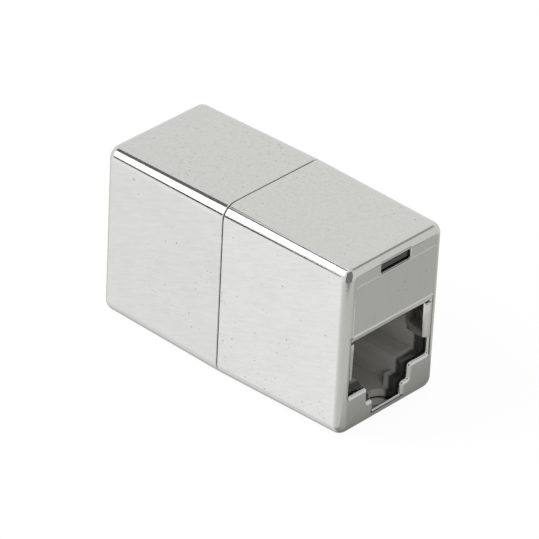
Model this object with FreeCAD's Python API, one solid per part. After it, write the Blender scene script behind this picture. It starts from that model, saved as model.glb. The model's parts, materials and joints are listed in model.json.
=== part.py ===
"""Shielded RJ45 inline coupler: two drawn metal half shells that meet at a middle seam over one
moulded body with a modular socket at each end, and a contact module inside (millimetres).

X runs along the coupler, Y across it and Z up. The origin is at the middle of the underside, below
the seam. The two ends are the same, turned half round the Z axis, so each end is drawn once at +X.
"""

import FreeCAD, Part
import math
import os

V = FreeCAD.Vector
TOLERANCE = 1e-3         # for picking edges by where they lie

# Outside of the shells, measured at the seam where they are largest.
LENGTH = 36.0            # between the two end faces, without the raised panels
SEAM_WIDTH = 16.2
SEAM_HEIGHT = 21.95
DRAFT_DEG = 1.0          # all four sides taper from the seam towards each end
SEAM_GAP = 0.12
SHEET = 0.45             # metal thickness of the shells
TOP_EDGE_R = 1.85
BOTTOM_EDGE_R = 1.75
RIM_R = 1.15             # drawn radius round each end face
SEAM_CHAMFER = 0.1

# Raised panel above the socket, rolled inwards along its lower edge.
PANEL_WIDTH = 13.0
PANEL_BELOW_SLOT = 0.05
PANEL_RAISE = 0.1
PANEL_EDGE_R = 0.08
LIP_R = 0.8
LIP_RUN = 0.1
LIP_DROP = 0.2           # from the socket's ceiling down to the underside of the lip

# Catch slot near the top of each end face.
SLOT_WIDTH = 4.75
SLOT_HEIGHT = 1.35
SLOT_BELOW_TOP = 1.35    # from the top of the coupler, at the seam, to the top of the slot

# Earthing tongues, bent in from both sides of the opening.
TONGUE_SPAN = 11.35      # clear width between the two tongues
TONGUE_HEIGHT = 4.45
TONGUE_RUN = 2.9         # from the end face to the tip
TONGUE_BEND_R = 0.7
TONGUE_TIP_R = 1.7

# Socket for the plug and its latch.
SOCKET_WIDTH = 12.0
SOCKET_HEIGHT = 6.85
SOCKET_DEPTH = 12.1
SOCKET_FLOOR = 5.25      # height of the floor above the underside
LATCH_STEP_WIDTH = 6.4
LATCH_STEP_DROP = 1.95
LATCH_NOTCH_WIDTH = 4.3
LATCH_NOTCH_DROP = 3.52
LATCH_PANEL = 1.6        # thickness of the stepped front that the latch hooks behind
LATCH_RUN = 8.0          # length of the wide latch channel behind that front
MOUTH_RELIEF = 0.12      # the metal edges stand back this far from the moulded ones
MOUTH_CHAMFER = 0.12

# Moulded body.
BODY_CLEARANCE = 0.1     # between the body and the metal round it
BODY_SETBACK = 0.45      # from the inside of the end face to the front of the body
BODY_WALL = 1.1
ROOF = 0.75              # above the sockets, below the contact modules
POCKET_SIDE = 0.55       # free depth behind each earthing tongue
LEDGE_NOSE_R = 1.3       # quarter round at the front of the ledges that guide the plug
ARCH_R = 1.85            # half-round cut in the front edge of the latch channel's floor
CORE_COLUMNS = 3
CORE_RIB = 1.0           # walls left between the coring pockets of the middle block
CORE_FLOOR = 1.5
NOSE_REACH = 0.05        # how far the catch nose stands into its slot
NOSE_CLEARANCE = 0.14
FINGER_SLIT = 0.5
FINGER_LENGTH = 5.0

# Contact modules.
CONTACTS = 8
PITCH = 1.02
WIRE = 0.35
WIRE_CLEARANCE = 0.05
WIRE_BEND_R = 0.55
WIRE_SLOPE_DEG = 17.0
WIRE_FRONT = 3.0         # from the front of the body to the outside of the contact's bend
WIRE_LIFT = 0.3          # from the seat of the module to the middle of the wire
MODULE_SEAT = 0.75       # length that rests on the roof behind and in front of its window
MODULE_HEIGHT = 2.0
MODULE_SIDE = 0.8        # plastic outside the first and last contact
MODULE_CLEARANCE = 0.05
COMB_THICKNESS = 1.25
COMB_DROP = 3.7
COMB_WEB = 0.4
PIN_ROW_STEP = 2.0
PIN_FROM_REAR = 1.7
PIN_STAND = 0.7          # pin length above the board
PEG_R = 0.5
PEG_HEIGHT = 1.2
PEG_CLEARANCE = 0.05

# Circuit board.
BOARD_THICKNESS = 1.6
BOARD_HOLE_R = 0.32
BOARD_HOLE_SIDES = 12    # the many small pin holes are drawn as prisms, to stay light
BOARD_EDGE = 0.3         # room between the board and the body's walls

HALF = LENGTH / 2
DRAFT = math.tan(math.radians(DRAFT_DEG))
INNER_FACE = HALF - SHEET
BODY_FRONT = INNER_FACE - BODY_SETBACK
CEILING = SOCKET_FLOOR + SOCKET_HEIGHT
OPENING_HALF = TONGUE_SPAN / 2 + TONGUE_BEND_R
SHOULDER = SOCKET_FLOOR - MOUTH_RELIEF
LIP = CEILING - LIP_DROP
SLOT_BOTTOM = SEAM_HEIGHT - SLOT_BELOW_TOP - SLOT_HEIGHT
PANEL_TOP = SLOT_BOTTOM - PANEL_BELOW_SLOT
TONGUE_TOP = LIP - MOUTH_RELIEF
TONGUE_BOTTOM = TONGUE_TOP - TONGUE_HEIGHT
SOCKET_END = BODY_FRONT - SOCKET_DEPTH
SEAT = CEILING + ROOF
WIRE_LEVEL = SEAT + WIRE_LIFT
MODULE_TOP = SEAT + MODULE_HEIGHT
MODULE_HALF_WIDTH = (CONTACTS - 1) * PITCH / 2 + WIRE / 2 + MODULE_SIDE
BEND_CENTRE_X = BODY_FRONT - WIRE_FRONT - WIRE / 2 - WIRE_BEND_R
WINDOW_FRONT = BEND_CENTRE_X + WIRE_BEND_R + WIRE / 2 + WIRE_CLEARANCE + MODULE_CLEARANCE + COMB_WEB
WINDOW_REAR = SOCKET_END
MODULE_REAR = WINDOW_REAR - MODULE_SEAT - PIN_ROW_STEP
MODULE_FRONT = WINDOW_FRONT + MODULE_SEAT
PIN_X = MODULE_REAR + PIN_FROM_REAR
BOARD_TOP = MODULE_TOP + BOARD_THICKNESS
BAY_FRONT = BODY_FRONT - BODY_WALL
BAY_HALF_WIDTH = SEAM_WIDTH / 2 - SHEET - BODY_CLEARANCE - BODY_WALL - HALF * DRAFT


def box(x0, x1, y0, y1, z0, z1):
    """Return a block between two corners."""
    return Part.makeBox(x1 - x0, y1 - y0, z1 - z0, V(x0, y0, z0))


def both_sides(shape):
    """Return a shape together with its mirror image across the middle plane of the coupler."""
    return shape.fuse(shape.mirror(V(0, 0, 0), V(0, 1, 0)))


def turned(shape):
    """Return the same shape at the other end: half a turn about Z."""
    copy = shape.copy()
    copy.rotate(V(0, 0, 0), V(0, 0, 1), 180)
    return copy


def arc(centre, radius, start_deg, end_deg, place):
    """Return an arc edge; place turns a flat (a, b) pair into a point of the model."""
    angles = [math.radians(start_deg + share * (end_deg - start_deg)) for share in (0, 0.5, 1)]
    points = [place(centre[0] + radius * math.cos(a), centre[1] + radius * math.sin(a)) for a in angles]
    return Part.Arc(*points).toShape()


def face_of(edges):
    """Return the flat face inside a closed run of edges."""
    return Part.Face(Part.Wire(Part.__sortEdges__(edges)))


def section_limits(x, inset):
    """Return the half width, underside and top of the coupler at x, drawn in by inset."""
    shrink = abs(x) * DRAFT + inset
    return SEAM_WIDTH / 2 - shrink, shrink, SEAM_HEIGHT - shrink


def drafted_block(x0, x1, inset):
    """Return the tapered block between x0 and x1, drawn in by inset, with its long edges rounded."""
    near_y, near_low, near_high = section_limits(x0, inset)
    far_y, far_low, far_high = section_limits(x1, inset)
    block = Part.makeWedge(-near_y, x0, near_low, far_low, -far_y, near_y, x1, near_high, far_high, far_y)
    block.rotate(V(0, 0, 0), V(0, 0, 1), -90)
    for radius, is_top in ((TOP_EDGE_R - inset, True), (BOTTOM_EDGE_R - inset, False)):
        long_edges = [e for e in block.Edges if e.BoundBox.XLength > 0.9 * (x1 - x0)
                      and (e.CenterOfMass.z > SEAM_HEIGHT / 2) == is_top and len(e.Vertexes) == 2
                      and abs(e.CenterOfMass.y) > near_y - radius]
        block = block.makeFillet(radius, long_edges)
    return block


def edges_on_plane(shape, x, limit=None):
    """Return the edges that lie in the plane at x, inside an optional (half width, low, high) window."""
    found = []
    for edge in shape.Edges:
        bounds = edge.BoundBox
        if abs(bounds.XMin - x) > TOLERANCE or abs(bounds.XMax - x) > TOLERANCE:
            continue
        if limit and (bounds.YMax > limit[0] or bounds.YMin < -limit[0]
                      or bounds.ZMin < limit[1] or bounds.ZMax > limit[2]):
            continue
        found.append(edge)
    return found


def stepped_profile(x, half_width, floor, top, relief):
    """Return the socket's outline seen from its end: a wide mouth over two steps for the latch."""
    step, notch = LATCH_STEP_WIDTH / 2 + relief, LATCH_NOTCH_WIDTH / 2 + relief
    step_z, notch_z = SOCKET_FLOOR - LATCH_STEP_DROP - relief, SOCKET_FLOOR - LATCH_NOTCH_DROP - relief
    right = [(half_width, top), (half_width, floor), (step, floor), (step, step_z),
             (notch, step_z), (notch, notch_z)]
    outline = right + [(-y, z) for y, z in reversed(right)]
    return Part.Face(Part.makePolygon([V(x, y, z) for y, z in outline + outline[:1]]))


def rolled_lip():
    """Return the quarter roll that turns the panel's lower edge inwards, with its short flat end."""
    centre = (HALF + PANEL_RAISE - LIP_R, LIP + LIP_R)
    half_width = PANEL_WIDTH / 2

    def place(x, z):
        return V(x, -half_width, z)

    outer = arc(centre, LIP_R, -90, 0, place)
    inner = arc(centre, LIP_R - SHEET, -90, 0, place)
    bore = LIP_R - SHEET
    ends = [Part.LineSegment(place(centre[0] + a * LIP_R, centre[1] + b * LIP_R),
                             place(centre[0] + a * bore, centre[1] + b * bore)).toShape()
            for a, b in ((1, 0), (0, -1))]
    roll = face_of([outer, inner] + ends).extrude(V(0, PANEL_WIDTH, 0))
    return roll.fuse(box(centre[0] - LIP_RUN, centre[0], -half_width, half_width, LIP, LIP + SHEET))


def earthing_tongue():
    """Return one tongue: a bend out of the end face, then a flat run into the socket with a round tip."""
    face_y = TONGUE_SPAN / 2
    centre = (HALF - TONGUE_BEND_R, OPENING_HALF)

    def place(x, y):
        return V(x, y, TONGUE_BOTTOM)

    tip_x, thin = HALF - TONGUE_RUN, SHEET
    edges = [arc(centre, radius, 270, 360, place) for radius in (TONGUE_BEND_R, TONGUE_BEND_R - thin)]
    corners = [(centre[0], face_y), (tip_x, face_y), (tip_x, face_y + thin), (centre[0], face_y + thin)]
    edges += [Part.LineSegment(place(*a), place(*b)).toShape() for a, b in zip(corners, corners[1:])]
    edges.append(Part.LineSegment(place(HALF, centre[1]), place(HALF - thin, centre[1])).toShape())
    tongue = face_of(edges).extrude(V(0, 0, TONGUE_HEIGHT))
    tips = [e for e in tongue.Edges
            if abs(e.BoundBox.XMax - tip_x) < TOLERANCE and e.BoundBox.YLength > thin / 2]
    return tongue.makeFillet(TONGUE_TIP_R, tips)


def raised_panel():
    """Return the panel's outer block and the matching hollow behind it, both above the rolled lip."""
    half_width, low = PANEL_WIDTH / 2, LIP + LIP_R
    block = box(INNER_FACE, HALF + PANEL_RAISE, -half_width, half_width, low, PANEL_TOP)
    rim = [e for e in edges_on_plane(block, HALF + PANEL_RAISE) if e.BoundBox.ZMax > low + PANEL_EDGE_R]
    block = block.makeFillet(PANEL_EDGE_R, rim)
    hollow = box(INNER_FACE - SHEET, INNER_FACE + PANEL_RAISE, SHEET - half_width, half_width - SHEET,
                 low - LIP_R, PANEL_TOP - SHEET)
    return block, hollow


def half_shell():
    """Return the metal half shell at +X."""
    start = SEAM_GAP / 2
    outer = drafted_block(start, HALF, 0)
    outer = outer.makeFillet(RIM_R, edges_on_plane(outer, HALF))
    outer = outer.makeChamfer(SEAM_CHAMFER, edges_on_plane(outer, start))
    inner = drafted_block(start, INNER_FACE, SHEET)
    inner = inner.makeChamfer((RIM_R - SHEET) * (2 - math.sqrt(2)), edges_on_plane(inner, INNER_FACE))
    block, hollow = raised_panel()
    shell = outer.cut(inner)
    mouth = stepped_profile(INNER_FACE - SHEET, OPENING_HALF, SHOULDER, LIP + LIP_R, MOUTH_RELIEF)
    shell = shell.cut(mouth.extrude(V(3 * SHEET, 0, 0)))
    half_panel = PANEL_WIDTH / 2
    relief = box(INNER_FACE - SHEET, HALF + SHEET, -half_panel, half_panel, TONGUE_TOP, LIP + LIP_R)
    shell = shell.cut(relief)
    notch_floor = SOCKET_FLOOR - LATCH_NOTCH_DROP - MOUTH_RELIEF
    limit = (OPENING_HALF + TOLERANCE, notch_floor - TOLERANCE, SHOULDER + TOLERANCE)
    stepped_edge = edges_on_plane(shell, HALF, limit)
    shell = shell.makeChamfer(MOUTH_CHAMFER, stepped_edge)
    shell = shell.fuse(block).cut(hollow).fuse(rolled_lip())
    shell = shell.fuse(both_sides(earthing_tongue()))
    half_slot, slot_top = SLOT_WIDTH / 2, SLOT_BOTTOM + SLOT_HEIGHT
    slot = box(INNER_FACE - SHEET, HALF + SHEET, -half_slot, half_slot, SLOT_BOTTOM, slot_top)
    return shell.cut(slot).removeSplitter()


def ledge_nose():
    """Return what is cut from the front of one ledge to leave a quarter round that leads the plug in."""
    low, y = SOCKET_FLOOR - LEDGE_NOSE_R, LATCH_STEP_WIDTH / 2
    width = SOCKET_WIDTH / 2 - y
    back = BODY_FRONT - LEDGE_NOSE_R
    corner = box(back, BODY_FRONT, y, y + width, low, SOCKET_FLOOR)
    return corner.cut(Part.makeCylinder(LEDGE_NOSE_R, width, V(back, y, low), V(0, 1, 0)))


def socket_space():
    """Return everything cut from the body for one plug: chamber, latch channel, pockets and half-round
    finger cut at the front of the channel's floor."""
    front, half_width = BODY_FRONT, SOCKET_WIDTH / 2
    channel_half, channel_floor = LATCH_STEP_WIDTH / 2, SOCKET_FLOOR - LATCH_NOTCH_DROP
    space = box(SOCKET_END, front, -half_width, half_width, SOCKET_FLOOR, CEILING)
    mouth = stepped_profile(front - LATCH_PANEL, half_width, SOCKET_FLOOR, CEILING, 0)
    space = space.fuse(mouth.extrude(V(LATCH_PANEL, 0, 0)))
    back = front - LATCH_PANEL
    space = space.fuse(box(back - LATCH_RUN, back, -channel_half, channel_half, channel_floor, SOCKET_FLOOR))
    tongue_back = HALF - TONGUE_RUN - 2 * BODY_CLEARANCE
    pocket = box(tongue_back, front, half_width - BODY_CLEARANCE, half_width + POCKET_SIDE,
                 TONGUE_BOTTOM - BODY_CLEARANCE, CEILING)
    arch = Part.makeCylinder(ARCH_R, channel_floor + SHEET, V(front, 0, 0))
    return space.fuse(both_sides(pocket.fuse(ledge_nose()))).fuse(arch)


def module_space():
    """Return the open bay above one socket with the window that its contact module fills."""
    bay = box(0, BAY_FRONT, -BAY_HALF_WIDTH, BAY_HALF_WIDTH, SEAT, SEAM_HEIGHT)
    window_half = MODULE_HALF_WIDTH + MODULE_CLEARANCE
    return bay.fuse(box(WINDOW_REAR, WINDOW_FRONT, -window_half, window_half, CEILING, SEAT))


def coring():
    """Return the pockets that keep the middle block between the sockets at an even wall."""
    width = (SOCKET_WIDTH - (CORE_COLUMNS - 1) * CORE_RIB) / CORE_COLUMNS
    lines = [-SOCKET_WIDTH / 2 + index * (width + CORE_RIB) for index in range(CORE_COLUMNS)]
    pockets = [box(CORE_RIB / 2, SOCKET_END - CORE_RIB, y, y + width, CORE_FLOOR, SEAT) for y in lines]
    return Part.makeCompound(pockets)


def catch_finger():
    """Return the nose that stands in the shell's slot and the two slits that let it spring."""
    nose_half = SLOT_WIDTH / 2 - NOSE_CLEARANCE
    low, high = SLOT_BOTTOM + NOSE_CLEARANCE, SLOT_BOTTOM + SLOT_HEIGHT - NOSE_CLEARANCE
    tip = INNER_FACE + NOSE_REACH
    ramp = [(BODY_FRONT, low), (tip, low), (tip, (low + high) / 2),
            (INNER_FACE - BODY_CLEARANCE, high), (BODY_FRONT, high)]
    face = Part.Face(Part.makePolygon([V(x, -nose_half, z) for x, z in ramp + ramp[:1]]))
    slit = box(BODY_FRONT - 2 * BODY_WALL, BODY_FRONT, nose_half, nose_half + FINGER_SLIT,
               high - FINGER_LENGTH, SEAM_HEIGHT)
    return face.extrude(V(0, 2 * nose_half, 0)), both_sides(slit)


def stand_off_pads():
    """Return the pads on the body's front that rest against the inside of the end face."""
    reach = INNER_FACE - BODY_FRONT
    top = SLOT_BOTTOM + SLOT_HEIGHT / 2
    upper = box(BODY_FRONT, BODY_FRONT + reach, SLOT_WIDTH / 2 + 2 * SLOT_HEIGHT, PANEL_WIDTH / 2 - SHEET,
                SLOT_BOTTOM, top)
    step_z = SOCKET_FLOOR - LATCH_STEP_DROP
    lower = box(BODY_FRONT, BODY_FRONT + reach, LATCH_STEP_WIDTH / 2 + 2 * SHEET, SOCKET_WIDTH / 2 - SHEET,
                step_z - LATCH_STEP_DROP / 2, step_z + SHEET)
    return both_sides(upper.fuse(lower))


def socket_body():
    """Return the one-piece moulding that holds both sockets and the contact modules."""
    half = drafted_block(0, BODY_FRONT, SHEET + BODY_CLEARANCE)
    nose, slits = catch_finger()
    half = half.cut(socket_space()).cut(module_space()).cut(coring()).cut(slits)
    half = half.fuse(nose).fuse(stand_off_pads())
    return half.fuse(turned(half)).removeSplitter()


def contact_lines():
    """Return the sideways positions of a socket's contacts."""
    first = -(CONTACTS - 1) * PITCH / 2
    return [first + index * PITCH for index in range(CONTACTS)]


def pin_position(index):
    """Return where along X a contact's pin rises: odd and even contacts use two rows."""
    return PIN_X + (index % 2) * PIN_ROW_STEP


def slope_end():
    """Return the start and end of the sloping spring arm, along the middle of the wire."""
    lean = math.radians(WIRE_SLOPE_DEG)
    centre_z = WIRE_LEVEL - WIRE_BEND_R
    start = (BEND_CENTRE_X + WIRE_BEND_R * math.sin(lean), centre_z - WIRE_BEND_R * math.cos(lean))
    end_x = SOCKET_END + COMB_THICKNESS / 2
    return start, (end_x, start[1] - (start[0] - end_x) * math.tan(lean))


def contact(index, y):
    """Return one contact: a pin, a run forward, a bend at the front and the sloping spring arm."""
    pin_x = pin_position(index)
    start, end = slope_end()

    def place(x, z):
        return V(x, y - WIRE / 2, z)

    def run(*points):
        return [Part.LineSegment(place(*a), place(*b)).toShape() for a, b in zip(points, points[1:])]

    path = run((pin_x, BOARD_TOP + PIN_STAND), (pin_x, WIRE_LEVEL), (BEND_CENTRE_X, WIRE_LEVEL))
    path.append(arc((BEND_CENTRE_X, WIRE_LEVEL - WIRE_BEND_R), WIRE_BEND_R, 90, WIRE_SLOPE_DEG - 90, place))
    middle = Part.Wire(path + run(start, end))
    sides = [middle.makeOffset2D(shift, 2, False, True) for shift in (WIRE / 2, -WIRE / 2)]
    caps = [Part.LineSegment(*[side.OrderedVertexes[i].Point for side in sides]).toShape() for i in (0, -1)]
    return face_of(sides[0].Edges + sides[1].Edges + caps).extrude(V(0, WIRE, 0))


def contact_module():
    """Return the comb-slotted moulding that carries one socket's contacts."""
    half_width = MODULE_HALF_WIDTH
    plate = box(MODULE_REAR, MODULE_FRONT, -half_width - MODULE_SIDE, half_width + MODULE_SIDE,
                SEAT, MODULE_TOP)
    plug = box(WINDOW_REAR + MODULE_CLEARANCE, WINDOW_FRONT - MODULE_CLEARANCE, -half_width, half_width,
               CEILING, SEAT)
    comb = box(SOCKET_END + MODULE_CLEARANCE, SOCKET_END + COMB_THICKNESS, -half_width, half_width,
               CEILING - COMB_DROP, CEILING)
    module = plate.fuse(plug).fuse(comb)
    slot_half = WIRE / 2 + WIRE_CLEARANCE
    ceiling = WIRE_LEVEL + WIRE / 2
    front = BEND_CENTRE_X + WIRE_BEND_R + slot_half
    comb_back = SOCKET_END + COMB_WEB
    for index, y in enumerate(contact_lines()):
        pin_x = pin_position(index)
        sides = (y - slot_half, y + slot_half)
        run = box(pin_x - slot_half, front, *sides, SEAT, ceiling)
        run = run.fuse(box(WINDOW_REAR + MODULE_CLEARANCE + COMB_WEB, front, *sides, CEILING, SEAT))
        guide = box(comb_back, SOCKET_END + COMB_THICKNESS, *sides, CEILING - COMB_DROP, CEILING)
        hole = box(pin_x - slot_half, pin_x + slot_half, *sides, ceiling, MODULE_TOP)
        module = module.cut(run.fuse(guide).fuse(hole))
    for peg in module_pegs(PEG_R, MODULE_TOP, PEG_HEIGHT):
        module = module.fuse(peg)
    return module.removeSplitter()


def module_pegs(radius, base, height):
    """Return the two locating pegs of a module, or the holes for them at a larger radius."""
    y = MODULE_HALF_WIDTH - PEG_R
    x = MODULE_FRONT - 3 * PEG_R
    return [Part.makeCylinder(radius, height, V(x, side * y, base)) for side in (-1, 1)]


def pin_hole(x, y):
    """Return what is drilled from the board for one pin."""
    angles = [2 * math.pi * side / BOARD_HOLE_SIDES for side in range(BOARD_HOLE_SIDES)]
    rim = [V(x + BOARD_HOLE_R * math.cos(a), y + BOARD_HOLE_R * math.sin(a), MODULE_TOP) for a in angles]
    return Part.Face(Part.makePolygon(rim + rim[:1])).extrude(V(0, 0, BOARD_THICKNESS))


def circuit_board():
    """Return the board that joins the two modules, drilled for every pin and peg."""
    half_width, reach = BAY_HALF_WIDTH - BOARD_EDGE, BAY_FRONT - BOARD_EDGE
    board = box(-reach, reach, -half_width, half_width, MODULE_TOP, BOARD_TOP)
    holes = [pin_hole(pin_position(index), y) for index, y in enumerate(contact_lines())]
    holes += module_pegs(PEG_R + PEG_CLEARANCE, MODULE_TOP, BOARD_THICKNESS)
    drill = Part.makeCompound(holes)
    return board.cut(drill).cut(turned(drill))


def export(name, shape):
    """Check one sub-part and write it."""
    if not shape.isValid() or len(shape.Solids) != 1:
        raise ValueError(f"{name} is not one sound solid")
    shape.Solids[0].exportStep(f"parts/{name}.step")


def main():
    """Build every sub-part and write one file for each."""
    os.makedirs("parts", exist_ok=True)
    ends = {"front": lambda shape: shape, "rear": turned}
    shell, module = half_shell(), contact_module()
    contacts = [contact(index, y) for index, y in enumerate(contact_lines())]
    export("socket_body", socket_body())
    export("circuit_board", circuit_board())
    for end, place in ends.items():
        export(f"{end}_shell", place(shell))
        export(f"{end}_contact_module", place(module))
        for index, wire in enumerate(contacts):
            export(f"{end}_contact_{index + 1}", place(wire))


main()
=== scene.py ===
"""Looks of a shielded inline coupler for network patch leads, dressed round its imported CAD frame.

The two metal half shells are modelled here again as fine surfaces with rounded sheet edges. The moulded
body, the contact modules, the board and the contacts keep the CAD's shape with their edges softened.
Sizes are in millimetres until a mesh is made, and the object frame is the CAD's: X along the coupler,
Y across it, Z up, with the origin below the seam.
"""

import json
import logging
import math
from dataclasses import dataclass, field
from enum import Enum

import bmesh
import bpy
import numpy as np
from mathutils import Matrix, Vector


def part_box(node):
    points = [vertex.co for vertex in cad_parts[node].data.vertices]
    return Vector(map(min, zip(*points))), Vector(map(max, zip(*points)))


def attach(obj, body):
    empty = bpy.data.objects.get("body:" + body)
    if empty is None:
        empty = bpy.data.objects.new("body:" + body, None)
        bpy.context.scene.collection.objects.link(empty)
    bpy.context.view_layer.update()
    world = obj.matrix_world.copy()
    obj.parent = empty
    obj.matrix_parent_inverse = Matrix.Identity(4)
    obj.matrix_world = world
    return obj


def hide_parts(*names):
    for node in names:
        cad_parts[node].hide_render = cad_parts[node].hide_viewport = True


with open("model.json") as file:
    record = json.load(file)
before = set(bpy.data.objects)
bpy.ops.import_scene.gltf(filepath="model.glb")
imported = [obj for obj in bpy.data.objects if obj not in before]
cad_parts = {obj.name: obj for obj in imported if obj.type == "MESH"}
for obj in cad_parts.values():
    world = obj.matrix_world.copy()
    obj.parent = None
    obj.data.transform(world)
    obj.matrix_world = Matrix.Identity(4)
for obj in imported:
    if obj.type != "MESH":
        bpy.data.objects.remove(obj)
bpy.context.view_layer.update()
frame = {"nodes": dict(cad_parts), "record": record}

LOG = logging.getLogger("coupler")
MM = 0.001
BODY = "root"

Array = np.ndarray
Socket = bpy.types.NodeSocket
Pair = tuple[float, float]
Triple = tuple[float, float, float]
Colour = tuple[float, float, float, float]
Stops = tuple[Pair, ...]


class End(Enum):
    """Which end of the coupler a piece belongs to."""

    FRONT = "front"
    REAR = "rear"


# ---------------------------------------------------------------------------------------------
# Mesh helpers
# ---------------------------------------------------------------------------------------------


def rounded_rings(corners: Array, radii: Array, offsets: Array, steps: int) -> Array:
    """Round the corners of a square-cornered outline and move it outwards, once for each offset.

    At each corner the two outward normals a and b are square to each other. The arc's centre is the
    corner moved by -s r (a + b), where s is 1 at an outer corner and -1 at an inner one, and its points
    are centre + (s r + offset) (cos t a + sin t b) for t from 0 to a quarter turn.

    Args:
        corners: The outline's corners in order, anticlockwise, one row of two numbers each.
        radii: The radius at each corner.
        offsets: How far each ring lies outside the outline; a negative one lies inside.
        steps: The number of spans along each arc.

    Returns:
        The closed rings, of shape (offsets, points in a ring, 2).
    """
    ahead = np.roll(corners, -1, axis=0) - corners
    ahead = ahead / np.linalg.norm(ahead, axis=1, keepdims=True)
    after = np.stack([ahead[:, 1], -ahead[:, 0]], axis=1)
    before = np.roll(after, 1, axis=0)
    back = np.roll(ahead, 1, axis=0)
    turn = np.sign(back[:, 0] * ahead[:, 1] - back[:, 1] * ahead[:, 0])
    centres = corners - (turn * radii)[:, None] * (before + after)
    angles = np.linspace(0.0, np.pi / 2, steps + 1)[None, :, None]
    normals = np.cos(angles) * before[:, None] + np.sin(angles) * after[:, None]
    reach = (turn * radii + offsets[:, None])[..., None, None]
    return (centres[:, None] + reach * normals).reshape(len(offsets), -1, 2)


def stand_rings(rings: Array, xs: Array) -> Array:
    """Stand flat rings up across the coupler.

    Args:
        rings: The rings of (y, z) points, of shape (rings, points in a ring, 2).
        xs: Each ring's place along X.

    Returns:
        The rings of (x, y, z) points.
    """
    places = np.broadcast_to(xs[:, None, None], (*rings.shape[:2], 1))
    return np.concatenate([places, rings], axis=-1)


def arc(centre: Pair, radius: float, start: float, stop: float, steps: int) -> Array:
    """Return the points centre + r (cos t, sin t) of an arc.

    Args:
        centre: The arc's centre.
        radius: Its radius r.
        start: The angle t where it starts, in radians.
        stop: The angle where it stops.
        steps: The number of points.

    Returns:
        One row of two numbers for each point.
    """
    turns = np.linspace(start, stop, steps)
    return np.array(centre) + radius * np.stack([np.cos(turns), np.sin(turns)], axis=1)


@dataclass
class Surface:
    """Points and faces gathered from several sets of rings before they become one mesh.

    Attributes:
        points: The blocks of points, in millimetres.
        faces: The numbers of each face's points.
    """

    points: list[Array] = field(default_factory=list)
    faces: list[list[int]] = field(default_factory=list)

    def add(self, rings: Array, capped: bool = False) -> None:
        """Add closed rings of points, joined by quads from each ring to the next.

        Args:
            rings: The points in millimetres, of shape (rings, points in a ring, 3).
            capped: Whether one face closes the first ring and another the last.
        """
        count, size = rings.shape[:2]
        start = sum(len(block) for block in self.points)
        ring, point = np.meshgrid(np.arange(count - 1), np.arange(size), indexing="ij")
        following = (point + 1) % size  # the last point of a ring joins the first
        low, high = start + ring * size, start + (ring + 1) * size
        quads = np.stack([low + point, low + following, high + following, high + point], axis=-1)
        self.points.append(rings.reshape(-1, 3))
        self.faces += quads.reshape(-1, 4).tolist()
        if capped:
            self.faces += [list(range(first, first + size)) for first in (start, start + (count - 1) * size)]

    def bmesh(self) -> bmesh.types.BMesh:
        """Join everything that was added.

        Returns:
            The surface in metres.
        """
        mesh = bpy.data.meshes.new("scratch")
        mesh.from_pydata((np.concatenate(self.points) * MM).tolist(), [], self.faces)
        result = bmesh.new()
        result.from_mesh(mesh)
        bpy.data.meshes.remove(mesh)
        return result


def link_object(name: str, data: bpy.types.ID) -> bpy.types.Object:
    """Make an object and link it to the scene.

    Args:
        name: The object's name.
        data: Its mesh, light or camera.

    Returns:
        The new object.
    """
    thing = bpy.data.objects.new(name, data)
    bpy.context.scene.collection.objects.link(thing)
    return thing


def finish_piece(name: str, shape: bmesh.types.BMesh, smooth_deg: float) -> bpy.types.Object:
    """Turn a BMesh into an object whose faces point outwards.

    Args:
        name: The object's name.
        shape: The shape, in metres and in place. It is freed.
        smooth_deg: Edges that bend less than this are shaded smooth.

    Returns:
        The new object, linked to the scene.
    """
    bmesh.ops.recalc_face_normals(shape, faces=shape.faces)
    mesh = bpy.data.meshes.new(name)
    shape.to_mesh(mesh)
    shape.free()
    mesh.shade_smooth()
    mesh.set_sharp_from_angle(angle=math.radians(smooth_deg))
    return link_object(name, mesh)


def weigh_normals(piece: bpy.types.Object) -> None:
    """Let the large flat faces settle the shading normals, so that they stay flat up to their edges.

    Args:
        piece: The piece to shade.
    """
    weigh = piece.modifiers.new("even shading", "WEIGHTED_NORMAL")
    weigh.keep_sharp = True
    weigh.weight = 100


# ---------------------------------------------------------------------------------------------
# Node writing
# ---------------------------------------------------------------------------------------------


@dataclass(frozen=True)
class Pattern:
    """Soft noise in the object's own place, drawn out where a finish runs one way.

    Attributes:
        scale: Waves in a millimetre, before the stretch.
        detail: The number of finer layers.
        roughness: How strong the finer layers are.
        wander: How far the waves are bent.
        turn_deg: How far it is turned about X, Y and Z.
        stretch: How many times finer it is along each axis.
        span: The levels that become 0 and 1, with the straight line between them; none keeps the plain level.
    """

    scale: float
    detail: float = 2.0
    roughness: float = 0.5
    wander: float = 0.0
    turn_deg: Triple = (0, 0, 0)
    stretch: Triple = (1, 1, 1)
    span: Pair | None = None


@dataclass(frozen=True)
class Specks:
    """Small round specks, of which some cells of a loose grid hold one each.

    Attributes:
        cells: Cells in a millimetre.
        radius: The speck's radius as a share of a cell.
        share: The share of the cells that hold a speck.
    """

    cells: float
    radius: float
    share: float


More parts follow.
